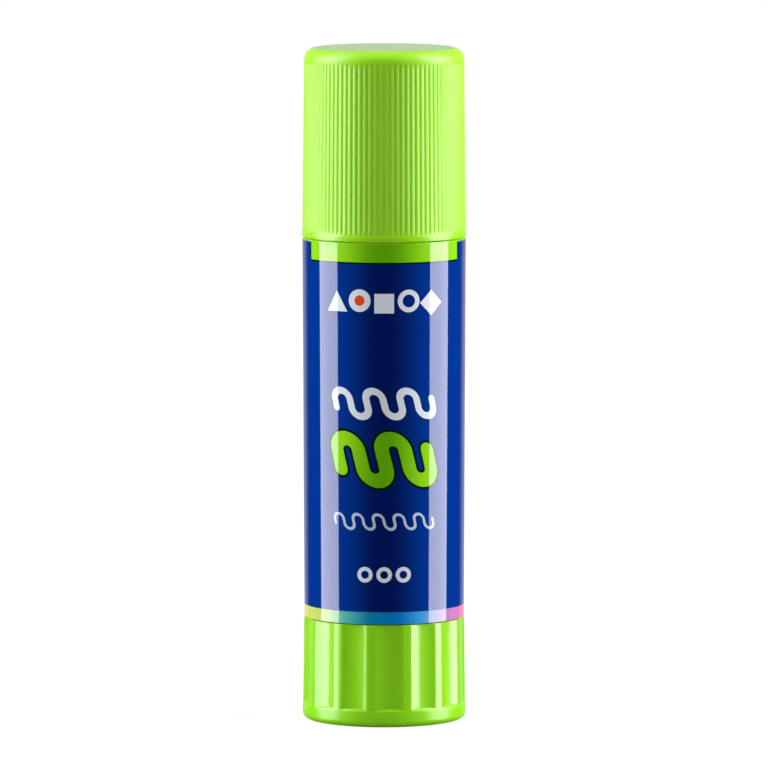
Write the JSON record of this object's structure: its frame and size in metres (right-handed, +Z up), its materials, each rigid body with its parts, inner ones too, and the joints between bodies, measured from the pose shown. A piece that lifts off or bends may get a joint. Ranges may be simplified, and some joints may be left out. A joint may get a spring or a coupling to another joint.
{
  "type": "glue stick",
  "caption": "Closed twist-up glue stick with a ribbed pull-off cap, a film label on a double-walled barrel, a fluted knob and a threaded spindle that lifts the glue.",
  "frame": {"origin": "middle of the knob's foot, on the surface that the stick stands on", "axes": "+Z up along the stick's axis through the cap; -Y is the front of the label; +X is to the right seen from the front"},
  "size_m": [0.0236, 0.0236, 0.0966],
  "materials": {
    "green_plastic": "glossy moulded polypropylene, lime green",
    "barrel_plastic": "glossy moulded polypropylene, lime green like the cap",
    "label_film": "glossy printed film, dark blue with a green tab and a rainbow band",
    "natural_plastic": "satin moulded polypropylene, uncoloured",
    "plug_plastic": "soft polyethylene, uncoloured",
    "glue_paste": "smooth white solid glue with a waxy sheen"
  },
  "bodies": {
    "barrel": {"barrel": "barrel_plastic", "label": "label_film"},
    "turner": {"knob": "green_plastic", "spindle": "natural_plastic"},
    "lifter": {"carrier": "natural_plastic", "glue": "glue_paste"},
    "closure": {"cap": "green_plastic", "cap_plug": "plug_plastic"}
  },
  "joints": [
    {"name": "knob_turn", "type": "hinge", "parent": "barrel", "child": "turner", "pos_m": [0, 0, 0], "axis": [0, 0, 1], "range_deg": [0, 5580]},
    {"name": "glue_lift", "type": "slide", "parent": "barrel", "child": "lifter", "axis": [0, 0, 1], "range_m": [0, 0.062]},
    {"name": "cap_pull", "type": "slide", "parent": "lifter", "child": "closure", "axis": [0, 0, 1], "range_m": [0, 0.034]}
  ],
  "couplings": [
    {"joint": "glue_lift", "follows": "knob_turn", "m_per_rad": 0.00063662}
  ]
}
